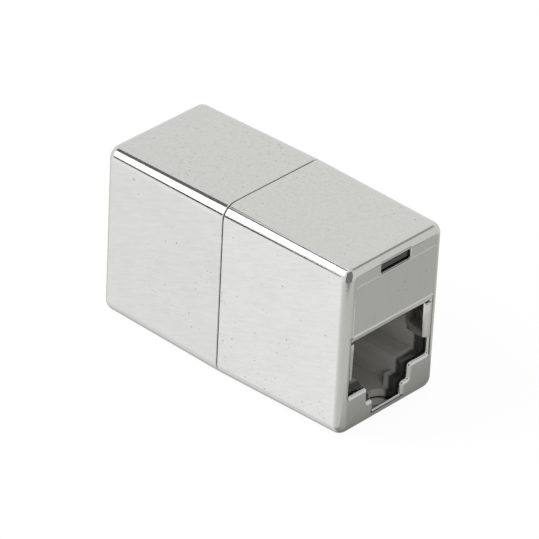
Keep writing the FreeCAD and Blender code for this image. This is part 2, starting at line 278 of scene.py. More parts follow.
class NodeWriter:
    """A small writer of node trees: each method adds nodes and returns their output."""

    def __init__(self, tree: bpy.types.NodeTree) -> None:
        """Write into a tree of a material or a world."""
        self.tree = tree

    def add(self, kind: str, inputs: dict[int | str, object] | None = None,
            **settings: object) -> bpy.types.Node:
        """Add a node.

        Args:
            kind: The node's type.
            inputs: The values that its inputs get, by their number or name.
            settings: Its properties.

        Returns:
            The node.
        """
        node = self.tree.nodes.new(kind)
        for key, value in settings.items():
            setattr(node, key, value)
        for key, value in (inputs or {}).items():
            self.feed(node.inputs[key], value)
        return node

    def feed(self, socket: Socket, value: object) -> None:
        """Set an input.

        Args:
            socket: The input.
            value: A constant, or another node's output, which is linked to it.
        """
        if isinstance(value, Socket):
            self.tree.links.new(value, socket)
        else:
            socket.default_value = value

    def millimetres(self, turn_deg: Triple = (0, 0, 0), stretch: Triple = (1, 1, 1)) -> Socket:
        """Return the object coordinates in millimetres.

        Args:
            turn_deg: How far they are turned about X, Y and Z.
            stretch: The share by which each is then made longer.

        Returns:
            The coordinates.
        """
        plain = self.add("ShaderNodeTexCoord").outputs["Object"]
        angles = [math.radians(angle) for angle in turn_deg]
        turned = self.add("ShaderNodeMapping", {"Vector": plain, "Rotation": angles}).outputs["Vector"]
        scales = [share / MM for share in stretch]
        return self.add("ShaderNodeMapping", {"Vector": turned, "Scale": scales}).outputs["Vector"]

    def axes(self, vector: Socket) -> tuple[Socket, ...]:
        """Return a vector's X, Y and Z."""
        return tuple(self.add("ShaderNodeSeparateXYZ", {0: vector}).outputs)

    def noise(self, pattern: Pattern) -> Socket:
        """Write soft noise.

        Args:
            pattern: Its size and kind.

        Returns:
            Its level: mostly from 0.3 to 0.7, or from 0 to 1 where the pattern has a span.
        """
        place = self.millimetres(pattern.turn_deg, pattern.stretch)
        inputs = {"Vector": place, "Scale": pattern.scale, "Detail": pattern.detail,
                  "Roughness": pattern.roughness, "Distortion": pattern.wander}
        level = self.add("ShaderNodeTexNoise", inputs).outputs["Fac"]
        return self.rise(level, *pattern.span) if pattern.span else level

    def specks(self, vector: Socket, specks: Specks) -> Socket:
        """Write small round specks.

        Args:
            vector: The coordinates in millimetres.
            specks: Their size and number.

        Returns:
            A mask that is 1 in the middle of a speck.
        """
        cells = self.add("ShaderNodeTexVoronoi", {"Vector": vector, "Scale": specks.cells})
        near = self.ramp(cells.outputs["Distance"], ((specks.radius * 0.4, 1.0), (specks.radius, 0.0)))
        picked = self.add("ShaderNodeSeparateColor", {"Color": cells.outputs["Color"]}).outputs["Red"]
        return self.times(near, self.ramp(picked, ((specks.share * 0.9, 1.0), (specks.share, 0.0))))

    def ragged(self, vector: Socket, scale: float, amount: float) -> Socket:
        """Push coordinates about by noise, for ragged outlines.

        Args:
            vector: The coordinates.
            scale: Waves in a millimetre.
            amount: The full width of the push.

        Returns:
            The pushed coordinates.
        """
        push = self.add("ShaderNodeTexNoise", {"Vector": vector, "Scale": scale}).outputs["Color"]
        return self.vector_math("MULTIPLY_ADD", push, (amount,) * 3, vector).outputs["Vector"]

    def curve(self, value: Socket, low: float, high: float, stops: Stops) -> Socket:
        """Map a value through straight spans between stops.

        Args:
            value: The value to map.
            low: The least place.
            high: The greatest place.
            stops: The places, in rising order, with their levels from 0 to 1.

        Returns:
            The level at the value's place.
        """
        node = self.add("ShaderNodeValToRGB", {"Fac": self.rise(value, low, high)})
        points = node.color_ramp.elements
        while len(points) < len(stops):
            points.new(0.5)
        for point, (place, level) in zip(points, stops):
            point.position = (place - low) / (high - low)
            point.color = (level, level, level, 1.0)
        return node.outputs["Color"]

    def ramp(self, value: Socket, stops: Stops) -> Socket:
        """Map a value along one straight span, held past both of its ends.

        Args:
            value: The value to map.
            stops: The two ends, each a place and its level.

        Returns:
            The level at the value's place.
        """
        (low, low_level), (high, high_level) = stops
        ends = {"From Min": low, "From Max": high, "To Min": low_level, "To Max": high_level}
        return self.add("ShaderNodeMapRange", {"Value": value, **ends}).outputs["Result"]

    def rise(self, value: Socket, low: float, high: float) -> Socket:
        """Return 0 up to a low value, 1 from a high one on, and the straight line between them."""
        return self.ramp(value, ((low, 0.0), (high, 1.0)))

    def math(self, operation: str, first: object, second: object = 0.0) -> Socket:
        """Return the result of one operation on one or two values."""
        return self.add("ShaderNodeMath", {0: first, 1: second}, operation=operation).outputs["Value"]

    def times(self, first: object, second: object) -> Socket:
        """Return the product of two values."""
        return self.math("MULTIPLY", first, second)

    def plus(self, first: object, second: object) -> Socket:
        """Return the sum of two values."""
        return self.math("ADD", first, second)

    def most(self, *values: object) -> Socket:
        """Compare two or more values.

        Args:
            values: The values.

        Returns:
            The greatest of them.
        """
        greatest = values[0]
        for value in values[1:]:
            greatest = self.math("MAXIMUM", greatest, value)
        return greatest

    def vector_math(self, operation: str, *values: object) -> bpy.types.Node:
        """Return the node of one operation on vectors."""
        return self.add("ShaderNodeVectorMath", dict(enumerate(values)), operation=operation)

    def blend(self, share: object, first: object, second: object) -> Socket:
        """Return a colour that goes from the first to the second as the share goes from 0 to 1."""
        return self.add("ShaderNodeMix", {0: share, 6: first, 7: second}, data_type="RGBA").outputs[2]

    def mix(self, share: object, first: Socket, second: Socket) -> Socket:
        """Return a shader that goes from the first to the second as the share goes from 0 to 1."""
        return self.add("ShaderNodeMixShader", {0: share, 1: first, 2: second}).outputs["Shader"]

    def bump(self, height: Socket, depth_mm: float) -> Socket:
        """Return a normal that follows a height, whose full range is so many millimetres."""
        return self.add("ShaderNodeBump", {"Height": height, "Distance": depth_mm * MM}).outputs["Normal"]


class Shader(NodeWriter):
    """A writer of a node material round a Principled shader."""

    def __init__(self, name: str) -> None:
        """Start a material with a Principled shader.

        Args:
            name: The material's name.
        """
        self.material = bpy.data.materials.new(name)
        self.material.use_nodes = True
        super().__init__(self.material.node_tree)
        self.principled = self.tree.nodes["Principled BSDF"]

    def surface(self, **inputs: object) -> bpy.types.Material:
        """Set the Principled shader.

        Args:
            inputs: The values of its inputs, whose names have underscores for spaces.

        Returns:
            The material.
        """
        for key, value in inputs.items():
            self.feed(self.principled.inputs[key.replace("_", " ")], value)
        return self.material

    def output(self, shader: Socket) -> bpy.types.Material:
        """Show a shader in place of the Principled one, and return the material."""
        self.feed(self.tree.nodes["Material Output"].inputs["Surface"], shader)
        return self.material


# ---------------------------------------------------------------------------------------------
# Finishes
# ---------------------------------------------------------------------------------------------


@dataclass(frozen=True)
class NickelPlate:
    """Satin nickel over drawn sheet: rubbed, faintly scratched and pitted.

    Attributes:
        colour: The usual colour.
        dull: The colour where the plate is cloudy.
        bright: The colour of a scratch.
        pit: The colour of a speck or pit.
        roughness: The usual roughness.
        top: The heights over which the sides' pattern gives way to the top's.
        end: The places along X over which it gives way to the ends'.
        drawn, cloud: The slanting streaks and the broad clouds of the sides.
        drawn_part, cloud_part: The parts that these two take in the sides' pattern.
        upright: The upright streaks of the ends.
        mottle: The mottling of the top.
        dull_span: The levels of these patterns that are not cloudy at all and fully so.
        dull_share: How cloudy the plate then is on the sides (at 0) and on the ends (at 1).
        dull_rough: What a fully cloudy place adds to the roughness.
        grain: The fine grain.
        grain_height: Its part in the relief.
        scratches: Long thin marks, turned three ways.
        scratch_share: How far a scratch takes on its own colour.
        scratch_rough, scratch_height: What a scratch adds to the roughness and to the relief.
        ragged: The waves in a millimetre and the push that make the specks ragged.
        fine, coarse: The specks found everywhere.
        dense: The specks of the top.
        rearwards: How their number falls off along X.
        clustered: The specks that gather in clusters, away from the ends.
        cluster: Where they gather.
        dent: The middle of the one larger pit.
        dent_edge: How deep it is by the distance from there.
        pit_share: How far a speck or pit takes on its own colour.
        relief: The depth of a pit, in millimetres.
    """

    colour: Colour = (0.83, 0.828, 0.815, 1.0)
    dull: Colour = (0.745, 0.743, 0.731, 1.0)
    bright: Colour = (0.90, 0.895, 0.875, 1.0)
    pit: Colour = (0.22, 0.21, 0.20, 1.0)
    roughness: float = 0.09
    top: Pair = (21.4, 21.9)
    end: Pair = (17.3, 17.9)
    drawn: Pattern = Pattern(1.0, 4.0, 0.66, 0.5, (0, 21, 0), (0.45, 2.4, 2.4))
    cloud: Pattern = Pattern(0.3, 3.0)
    drawn_part: float = 0.7
    cloud_part: float = 0.3
    upright: Pattern = Pattern(1.0, stretch=(1.0, 2.2, 0.25))
    mottle: Pattern = Pattern(2.1, 3.0, 0.65)
    dull_span: Pair = (0.36, 0.66)
    dull_share: Stops = ((0.0, 0.7), (1.0, 0.2))
    dull_rough: float = 0.07
    grain: Pattern = Pattern(9.0, 3.0)
    grain_height: float = 0.25
    scratches: tuple[Pattern, ...] = tuple(
        Pattern(1.0, turn_deg=turn, stretch=(0.16, 7.0, 7.0), span=(0.66, 0.74))
        for turn in ((0, 38, 0), (0, -24, 12), (0, 0, 62)))
    scratch_share: float = 0.3
    scratch_rough: float = 0.10
    scratch_height: float = -0.15
    ragged: Pair = (5.0, 0.35)
    fine: Specks = Specks(1.1, 0.13, 0.10)
    coarse: Specks = Specks(0.45, 0.07, 0.2)
    dense: Specks = Specks(2.2, 0.24, 0.34)
    rearwards: Stops = ((-2.0, 1.0), (8.0, 0.25))
    clustered: Specks = Specks(2.3, 0.22, 0.22)
    cluster: Pattern = Pattern(0.17, span=(0.47, 0.58))
    dent: Triple = (-13.6, -8.0, 19.3)
    dent_edge: Stops = ((0.12, 0.7), (0.3, 0.0))
    pit_share: float = 0.65
    relief: float = 0.004

    def unevenness(self, shader: Shader, on_top: Socket, on_end: Socket) -> Socket:
        """Write how cloudy the plate is, by patterns of their own on the sides, the ends and the top.

        Args:
            shader: The material's writer.
            on_top: 1 on the top.
            on_end: 1 on either end.

        Returns:
            The share of the dull colour, 0 where the plate is clear.
        """
        drawn = shader.times(shader.noise(self.drawn), self.drawn_part)
        sides = shader.plus(drawn, shader.times(shader.noise(self.cloud), self.cloud_part))
        around = shader.blend(on_end, sides, shader.noise(self.upright))
        everywhere = shader.blend(on_top, around, shader.noise(self.mottle))
        return shader.times(shader.rise(everywhere, *self.dull_span), shader.ramp(on_end, self.dull_share))

    def pits(self, shader: Shader, on_top: Socket, on_end: Socket) -> Socket:
        """Write the specks and the one larger pit.

        Args:
            shader: The material's writer.
            on_top: 1 on the top.
            on_end: 1 on either end.

        Returns:
            A mask that is 1 in the middle of a speck.
        """
        plain = shader.millimetres()
        place = shader.ragged(plain, *self.ragged)
        fine, coarse, dense, clustered = (
            shader.specks(place, specks) for specks in (self.fine, self.coarse, self.dense, self.clustered))
        rearwards = shader.ramp(shader.axes(plain)[0], self.rearwards)
        dense = shader.times(dense, shader.times(on_top, rearwards))
        clustered = shader.times(clustered, shader.noise(self.cluster))
        clustered = shader.times(clustered, shader.math("SUBTRACT", 1.0, on_end))
        distance = shader.vector_math("DISTANCE", plain, self.dent).outputs["Value"]
        return shader.most(fine, coarse, dense, clustered, shader.ramp(distance, self.dent_edge))

    def material(self) -> bpy.types.Material:
        """Write the finish.

        Returns:
            The material.
        """
        shader = Shader("nickel_plate")
        x, _, z = shader.axes(shader.millimetres())
        on_top = shader.rise(z, *self.top)
        on_end = shader.rise(shader.math("ABSOLUTE", x), *self.end)
        uneven = self.unevenness(shader, on_top, on_end)
        scratched = shader.most(*(shader.noise(pattern) for pattern in self.scratches))
        pits = self.pits(shader, on_top, on_end)
        tone = shader.blend(uneven, self.colour, self.dull)
        tone = shader.blend(shader.times(scratched, self.scratch_share), tone, self.bright)
        tone = shader.blend(shader.times(pits, self.pit_share), tone, self.pit)
        rough = shader.plus(shader.times(uneven, self.dull_rough), self.roughness)
        rough = shader.plus(rough, shader.times(scratched, self.scratch_rough))
        grain = shader.times(shader.noise(self.grain), self.grain_height)
        height = shader.plus(grain, shader.times(scratched, self.scratch_height))
        normal = shader.bump(shader.math("SUBTRACT", height, pits), self.relief)
        return shader.surface(Base_Color=tone, Metallic=1.0, Roughness=rough, Normal=normal)


@dataclass(frozen=True)
class Moulding:
    """A moulded plastic with a fine spark-eroded grain, with painted shade towards both ends where the
    shell's end sheet shades it.

    Attributes:
        name: The material's name.
        colour: The usual colour.
        pale: The colour where the melt flowed on.
        roughness: The usual roughness.
        painted_shade_from: How far from the middle along X the painted shade begins, 0 for none.
        painted_shade_colour: The colour of the painted shade, which stands for the shade under the shell's
            end sheet.
        edge: The way over which the painted shade fades in.
        wavy: How far the marks of the flow shift where it begins.
        smoother: How much less the roughness is there.
        grain: The spark-eroded grain.
        relief: The grain's depth, in millimetres.
        rough_by_grain: How much the grain's level adds to the roughness.
        flow: The broad marks of the flow.
        pale_span: The levels of the flow that have the usual colour and the pale one.
    """

    name: str
    colour: Colour
    pale: Colour
    roughness: float
    painted_shade_from: float = 0.0
    painted_shade_colour: Colour = (0.028, 0.028, 0.026, 1.0)
    edge: float = 0.35
    wavy: float = 0.5
    smoother: float = 0.08
    grain: Pattern = Pattern(14.0, 3.0)
    relief: float = 0.006
    rough_by_grain: Stops = ((0.3, -0.05), (0.7, 0.07))
    flow: Pattern = Pattern(0.9, 3.0, stretch=(0.25, 1.0, 1.0))
    pale_span: Pair = (0.3, 0.75)

    def material(self) -> bpy.types.Material:
        """Write the finish.

        Returns:
            The material.
        """
        shader = Shader(self.name)
        grain = shader.noise(self.grain)
        flow = shader.noise(self.flow)
        tone = shader.blend(shader.rise(flow, *self.pale_span), self.colour, self.pale)
        rough = shader.plus(shader.ramp(grain, self.rough_by_grain), self.roughness)
        # Painted shade: the plastic darkens towards both ends, standing for the shade that the shell's end
        # sheet casts on it.
        if self.painted_shade_from:
            x = shader.axes(shader.millimetres())[0]
            reach = shader.plus(shader.math("ABSOLUTE", x), shader.times(flow, self.wavy))
            painted_shade_mask = shader.rise(reach, self.painted_shade_from, self.painted_shade_from + self.edge)
            tone = shader.blend(painted_shade_mask, tone, self.painted_shade_colour)
            rough = shader.math("SUBTRACT", rough, shader.times(painted_shade_mask, self.smoother))
        return shader.surface(Base_Color=tone, Roughness=rough, Normal=shader.bump(grain, self.relief))


@dataclass(frozen=True)
class GoldWire:
    """Gold flash over nickel on drawn spring wire.

    Attributes:
        name: The material's name.
        colour: The usual colour.
        worn: The colour where the gold is rubbed thin.
        roughness: The usual roughness.
        drawn: The lines that drawing left along the wire.
        rough_by_line: How much a line's level adds to the roughness.
        thin: Where the gold is rubbed thin.
        relief: The lines' depth, in millimetres.
    """

    name: str = "gold_contact"
    colour: Colour = (0.86, 0.62, 0.26, 1.0)
    worn: Colour = (0.72, 0.60, 0.42, 1.0)
    roughness: float = 0.22
    drawn: Pattern = Pattern(2.0, turn_deg=(0, 17, 0), stretch=(0.5, 9.0, 9.0))
    rough_by_line: Stops = ((0.3, -0.05), (0.7, 0.08))
    thin: Pattern = Pattern(1.4, span=(0.5, 0.8))
    relief: float = 0.002

    def material(self) -> bpy.types.Material:
        """Write the finish.

        Returns:
            The material.
        """
        shader = Shader(self.name)
        drawn = shader.noise(self.drawn)
        tone = shader.blend(shader.noise(self.thin), self.colour, self.worn)
        rough = shader.plus(shader.ramp(drawn, self.rough_by_line), self.roughness)
        normal = shader.bump(drawn, self.relief)
        return shader.surface(Base_Color=tone, Metallic=1.0, Roughness=rough, Normal=normal)


@dataclass(frozen=True)
class BoardLaminate:
    """Green solder mask over copper tracks on a glass laminate.

    Attributes:
        name: The material's name.
        mask: The mask's colour over bare laminate.
        track: Its colour over a track.
        roughness: The usual roughness.
        waves: The scale of the wave texture that gives the tracks, and how far they wander.
        track_span: The levels of the waves that are bare laminate and a full track.
        relief: How far the mask stands up over a track, in millimetres.
        weave: The weave of the glass.
        rough_by_weave: How much the weave's level adds to the roughness.
    """

    name: str = "board_laminate"
    mask: Colour = (0.02, 0.14, 0.06, 1.0)
    track: Colour = (0.04, 0.24, 0.09, 1.0)
    roughness: float = 0.35
    waves: Pair = (0.31, 1.5)
    track_span: Pair = (0.55, 0.62)
    relief: float = 0.03
    weave: Pattern = Pattern(6.0)
    rough_by_weave: Stops = ((0.3, -0.06), (0.7, 0.06))

    def material(self) -> bpy.types.Material:
        """Write the finish.

        Returns:
            The material.
        """
        shader = Shader(self.name)
        inputs = {"Vector": shader.millimetres(), "Scale": self.waves[0], "Distortion": self.waves[1]}
        run = shader.add("ShaderNodeTexWave", inputs, bands_direction="Y").outputs["Fac"]
        tracks = shader.rise(run, *self.track_span)
        tone = shader.blend(tracks, self.mask, self.track)
        rough = shader.plus(shader.ramp(shader.noise(self.weave), self.rough_by_weave), self.roughness)
        return shader.surface(Base_Color=tone, Roughness=rough, Normal=shader.bump(tracks, self.relief))


# ---------------------------------------------------------------------------------------------
# Metal half shells
# ---------------------------------------------------------------------------------------------


@dataclass(frozen=True)
class BentStrip:
    """A strip of sheet carried along a flat path, with rounded edges and ends.

    Attributes:
        path: The points along the middle of the sheet, rows of (x, across) in millimetres.
        half_widths: Half the strip's width at each point of the path.
        centre: The middle of the width, along the direction square to the path's plane.
        thickness: The sheet's thickness.
        edge_r: The radius r along its edges.
        upright: True if the width runs along Z and the path lies flat, False if it runs along Y.
        steps: The number of points round each of the section's corners and over each end.
    """

    path: Array
    half_widths: Array
    centre: float
    thickness: float
    edge_r: float
    upright: bool
    steps: int = 4

    def sections(self, halves: Array, drawn_in: Array) -> Array:
        """Work out the strip's section at each station.

        It is a rounded rectangle, s (half - r) + (r - d) (cos t, sin t), s being a corner's signs.

        Args:
            halves: Half the width at each station.
            drawn_in: How far, d, each section is drawn in.

        Returns:
            The sections as (across the width, across the sheet), of shape (stations, points, 2).
        """
        corners = np.array([[-1, -1], [1, -1], [1, 1], [-1, 1]])
        quarter = np.linspace(0.0, np.pi / 2, self.steps)
        turns = (np.pi + np.arange(4)[:, None] * np.pi / 2 + quarter).ravel()
        normals = np.stack([np.cos(turns), np.sin(turns)], axis=1)
        centres = np.stack([halves, np.full_like(halves, self.thickness / 2)], axis=1) - self.edge_r
        radii = (self.edge_r - drawn_in)[:, None, None]
        return centres[:, None] * np.repeat(corners, self.steps, axis=0) + radii * normals

    def build(self, surface: Surface, mirrored: bool = False) -> None:
        """Add the strip to a surface.

        Each station is a section square to the path: point + n b + w a, where n is the path's normal, w
        the width's direction and (a, b) the section. Over both ends the section is drawn in by
        r (1 - cos t) while it moves out by r sin t, which rounds the end, and one face then closes it.

        Args:
            surface: The surface that the strip joins.
            mirrored: Whether the strip is made on the -Y side.
        """
        direction = np.gradient(self.path, axis=0)
        direction = direction / np.linalg.norm(direction, axis=1, keepdims=True)
        last = len(self.path) - 1
        station = np.concatenate([np.zeros(self.steps, int), np.arange(1, last), np.full(self.steps, last)])
        turns = np.linspace(0.0, np.pi / 2, self.steps)
        inset = self.edge_r * (1 - np.cos(turns))
        short_of_end = self.edge_r * (1 - np.sin(turns))
        between = np.zeros(last - 1)
        onward = np.concatenate([short_of_end[::-1], between, -short_of_end])
        heading = direction[station]
        middle = (self.path[station] + heading * onward[:, None])[:, None]
        normal = np.stack([-heading[:, 1], heading[:, 0]], axis=1)[:, None]
        section = self.sections(self.half_widths[station], np.concatenate([inset[::-1], between, inset]))
        along, across = np.moveaxis(middle + normal * section[..., 1:], -1, 0)
        width = self.centre + section[..., 0]
        points = np.stack((along, across, width) if self.upright else (along, width, across), axis=-1)
        surface.add(points * (1, -1, 1) if mirrored else points, capped=True)


@dataclass(frozen=True)
class ShellHalf:
    """One half shell: a drawn can with a raised panel, a stepped mouth, a catch slot and two tongues.

    Attributes:
        end_x, seam_x: The places of its flat end and of its face at the seam.
        half_width, height: Half its width and its height at the coupler's middle, where the draft starts.
        panel_raise: How far the panel stands out from the end.
        draft_deg: The draft of its sides.
        sheet: The sheet's thickness.
        top_r, bottom_r, rim_r, seam_r: The radii of its top and bottom edges, round its end and at the seam.
        mouth_roll, slot_roll: The width and depth over which the edge of the mouth and of the slot is rolled.
        roll_room: How much more the mouth's inner corners are rounded than the roll needs.
        mouth_half, mouth_top, shoulder: The plug's opening: half its width, its top and its floor.
        step_half, step_floor, notch_half, notch_floor: The same of the latch's two steps under it.
        mouth_radii: The radii of the mouth's outer corners, from the notch up to the top.
        slot_half, slot_height, slot_below_top, slot_r: The catch slot: half its width, its height, how far it
            lies below the top, and its corners.
        panel_half, panel_below_slot, panel_edge_r: The panel: half its width, its gap to the slot, its edges.
        lip_r, lip_z, lip_run: The lip under the panel: its outer radius, its underside and its run inwards.
        bead, bead_above, bead_width: The lip's bead: its height h, its place b above the roll, its width w.
        tongue_top, tongue_height, tongue_run: Each tongue's top, height and reach inwards.
        tongue_bend_r, tongue_tip_r, tongue_edge_r: The outer radius of its bend, and of its tip and edges.
        tongue_root: How far its root runs on inside the end.
        tongue_thinner: How much thinner it is than the sheet, so that no faces coincide there.
        smooth_deg: Edges that bend less than this are shaded smooth.
    """

    end_x: float
    seam_x: float
    half_width: float = 8.1
    height: float = 21.95
    panel_raise: float = 0.1
    draft_deg: float = 1.0
    sheet: float = 0.45
    top_r: float = 1.85
    bottom_r: float = 1.75
    rim_r: float = 1.15
    seam_r: float = 0.12
    mouth_roll: Pair = (0.45, 0.42)
    slot_roll: Pair = (0.16, 0.16)
    roll_room: float = 0.02
    mouth_half: float = 6.375
    mouth_top: float = 12.68
    shoulder: float = 5.13
    step_half: float = 3.32
    step_floor: float = 3.18
    notch_half: float = 2.27
    notch_floor: float = 1.61
    mouth_radii: tuple[float, ...] = (0.12, 0.15, 0.2, 0.05)
    slot_half: float = 2.375
    slot_height: float = 1.35
    slot_below_top: float = 1.35
    slot_r: float = 0.14
    panel_half: float = 6.5
    panel_below_slot: float = 0.05
    panel_edge_r: float = 0.06
    lip_r: float = 0.8
    lip_z: float = 11.9
    lip_run: float = 0.1
    bead: float = 0.05
    bead_above: float = 0.16
    bead_width: float = 0.11
    tongue_top: float = 11.78
    tongue_height: float = 4.45
    tongue_run: float = 2.9
    tongue_bend_r: float = 0.7
    tongue_tip_r: float = 1.7
    tongue_edge_r: float = 0.12
    tongue_root: float = 0.35
    tongue_thinner: float = 0.002
    smooth_deg: float = 40.0

    @classmethod
    def from_frame(cls) -> "ShellHalf":
        """Return the half shell whose length is read from the CAD's front shell."""
        low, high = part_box("front_shell")
        return cls(end_x=high.x / MM - cls.panel_raise, seam_x=low.x / MM)

    @property
    def draft(self) -> float:
        """How much each side closes in for each millimetre along X."""
        return math.tan(math.radians(self.draft_deg))

    @property
    def slot_floor(self) -> float:
        """The height of the catch slot's lower edge."""
        return self.height - self.slot_below_top - self.slot_height

    def wall_profile(self, wall: float) -> Array:
        """Draw the run from the seam over the rim, on the outside or, a wall further in, on the inside.

        The side leans in by the draft. The rim is an arc of radius r about (inset c, x = end - r), with
        c = draft (end - r) + r / cos(lean), so that it leaves the side without a kink.

        Args:
            wall: The wall's thickness, 0 for the outside.

        Returns:
            The run, as rows of (inset, x).
        """
        rim, lean = self.rim_r - wall, math.radians(self.draft_deg)
        centre_x = self.end_x - wall - rim
        centre = (wall + centre_x * self.draft + rim / math.cos(lean), centre_x)
        over_rim = arc(centre, rim, math.pi - lean, math.pi / 2, 9)
        start = self.seam_x + (0.0 if wall else self.seam_r)
        side_x = np.linspace(start, centre_x, 6)[:-1]
        side = np.stack([wall + side_x * self.draft, side_x], axis=1)
        return np.concatenate([side, over_rim])

    def seam_profile(self) -> Array:
        """Return the rounded edge at the seam, from its flat face to the outside, as rows of (inset, x)."""
        centre_x = self.seam_x + self.seam_r
        return arc((self.seam_r + centre_x * self.draft, centre_x), self.seam_r, -np.pi / 2, -np.pi, 5)

    def mouth_outline(self) -> tuple[Array, Array]:
        """Draw the stepped mouth, anticlockwise seen from outside.

        Returns:
            Its corners and their radii.
        """
        right = [(self.notch_half, self.notch_floor), (self.notch_half, self.step_floor),
                 (self.step_half, self.step_floor), (self.step_half, self.shoulder),
                 (self.mouth_half, self.shoulder), (self.mouth_half, self.mouth_top)]
        left = [(-y, z) for y, z in reversed(right)]
        inner = self.mouth_roll[0] + self.roll_room
        notch, step, shoulder, top = self.mouth_radii
        radii = [notch, inner, step, inner, shoulder, top]
        return np.array(right + left), np.array(radii + radii[::-1])

    def slot_outline(self) -> tuple[Array, Array]:
        """Return the corners of the catch slot and their radii."""
        y, low, high = self.slot_half, self.slot_floor, self.slot_floor + self.slot_height
        return np.array([[-y, low], [y, low], [y, high], [-y, high]]), np.full(4, self.slot_r)

    def opening_rings(self, corners: Array, radii: Array, roll: Pair) -> Array:
        """Draw the rolled wall of an opening, from the outer face to the inner one.

        The wall is the outline moved out by w (1 - sin t) and in by d (1 - cos t) for t from 0 to a
        quarter turn, which rolls the outer edge over, and then straight in to the inner face.

        Args:
            corners: The opening's corners.
            radii: The radius at each corner.
            roll: The width w of the rolled edge and its depth d.

        Returns:
            The rings of points.
        """
        turns = np.linspace(0.0, np.pi / 2, 9)
        offsets = np.append(roll[0] * (1 - np.sin(turns)), 0.0)
        depths = np.append(roll[1] * (1 - np.cos(turns)), self.sheet)
        return stand_rings(rounded_rings(corners, radii, offsets, 5), self.end_x - depths)

    def can(self, surface: Surface) -> None:
        """Add the can: its outside, inside and seam face, and the walls of its openings.

        Args:
            surface: The surface that it joins.
        """
        inner, outer = self.wall_profile(self.sheet), self.wall_profile(0.0)
        insets, xs = np.concatenate([inner[::-1], self.seam_profile(), outer[1:]]).T
        y, low, high = self.half_width, 0.0, self.height
        corners = np.array([[-y, low], [y, low], [y, high], [-y, high]])
        radii = np.array([self.bottom_r, self.bottom_r, self.top_r, self.top_r])
        surface.add(stand_rings(rounded_rings(corners, radii, -insets, 10), xs))
        surface.add(self.opening_rings(*self.mouth_outline(), self.mouth_roll))
        surface.add(self.opening_rings(*self.slot_outline(), self.slot_roll))

    def panel(self, surface: Surface) -> None:
        """Add the raised panel, whose lower edge rolls inwards and ends in a short flat run.

        Just above the roll a bead stands out by h exp(-((z - b) / w)^2), z being the height above the roll.

        Args:
            surface: The surface that it joins.
        """
        middle_x = self.end_x + self.panel_raise - self.sheet / 2
        roll = self.lip_r - self.sheet / 2
        centre = (self.end_x + self.panel_raise - self.lip_r, self.lip_z + self.lip_r)
        top = self.slot_floor - self.panel_below_slot
        above = np.linspace(0.5, 0.02, 17)
        bead = self.bead * np.exp(-((above - self.bead_above) / self.bead_width) ** 2)
        path = np.concatenate([[[middle_x, top], [middle_x, (top + centre[1]) / 2]],
                               np.column_stack([middle_x + bead, centre[1] + above]),
                               arc(centre, roll, 0.0, -np.pi / 2, 12),
                               [[centre[0] - self.lip_run, centre[1] - roll]]])
        half_widths = np.full(len(path), self.panel_half)
        BentStrip(path, half_widths, 0.0, self.sheet, self.panel_edge_r, False).build(surface)

    def tongue(self, surface: Surface, mirrored: bool) -> None:
        """Add one earthing tongue, bent in from the edge of the mouth.

        Near its tip, half its width falls by R - sqrt(R^2 - (R - x)^2), x being the way left to the tip.

        Args:
            surface: The surface that it joins.
            mirrored: Whether it is the one on the -Y side.
        """
        half = self.sheet / 2
        roll = self.tongue_bend_r - half
        centre = (self.end_x - self.tongue_bend_r, self.mouth_half)
        tip_x = self.end_x - self.tongue_run
        xs = np.linspace(centre[0], tip_x, 22)[1:]
        path = np.concatenate([[[self.end_x - half, self.mouth_half + self.tongue_root]],
                               arc(centre, roll, 0.0, -np.pi / 2, 12),
                               np.stack([xs, np.full_like(xs, centre[1] - roll)], axis=1)])
        from_tip = np.clip(path[:, 0] - tip_x, 0.02, self.tongue_tip_r)
        rounding = np.sqrt(self.tongue_tip_r ** 2 - (self.tongue_tip_r - from_tip) ** 2)
        half_widths = self.tongue_height / 2 - self.tongue_tip_r + rounding
        middle = self.tongue_top - self.tongue_height / 2
        thickness = self.sheet - self.tongue_thinner
        BentStrip(path, half_widths, middle, thickness, self.tongue_edge_r, True).build(surface, mirrored)

    def shape(self) -> bmesh.types.BMesh:
        """Make the front half shell, and fill its flat end in round the openings.

        Returns:
            The shape in metres.
        """
        surface = Surface()
        self.can(surface)
        self.panel(surface)
        for mirrored in (False, True):
            self.tongue(surface, mirrored)
        shape = surface.bmesh()
        for plane in (self.end_x, self.end_x - self.sheet):
            rim = [edge for edge in shape.edges if edge.is_boundary
                   and all(abs(vertex.co.x - plane * MM) < 1e-7 for vertex in edge.verts)]
            bmesh.ops.triangle_fill(shape, edges=rim, use_beauty=True)
        bmesh.ops.remove_doubles(shape, verts=shape.verts, dist=1e-8)
        return shape

    def build(self, end: End, finish: bpy.types.Material) -> bpy.types.Object:
        """Dress the half shell at one end of the coupler.

        Args:
            end: The end. The rear one is the front one turned half a turn about Z.
            finish: Its material.

        Returns:
            The dressed piece.
        """
        shape = self.shape()
        if end is End.REAR:
            bmesh.ops.rotate(shape, verts=shape.verts, matrix=Matrix.Rotation(math.pi, 3, "Z"))
        piece = finish_piece(f"{end.value}_shell_metal", shape, self.smooth_deg)
        weigh_normals(piece)
        piece.data.materials.append(finish)
        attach(piece, BODY)
        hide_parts(f"{end.value}_shell")
        return piece


# ---------------------------------------------------------------------------------------------
# Inner pieces, from the CAD's own shapes
# ---------------------------------------------------------------------------------------------


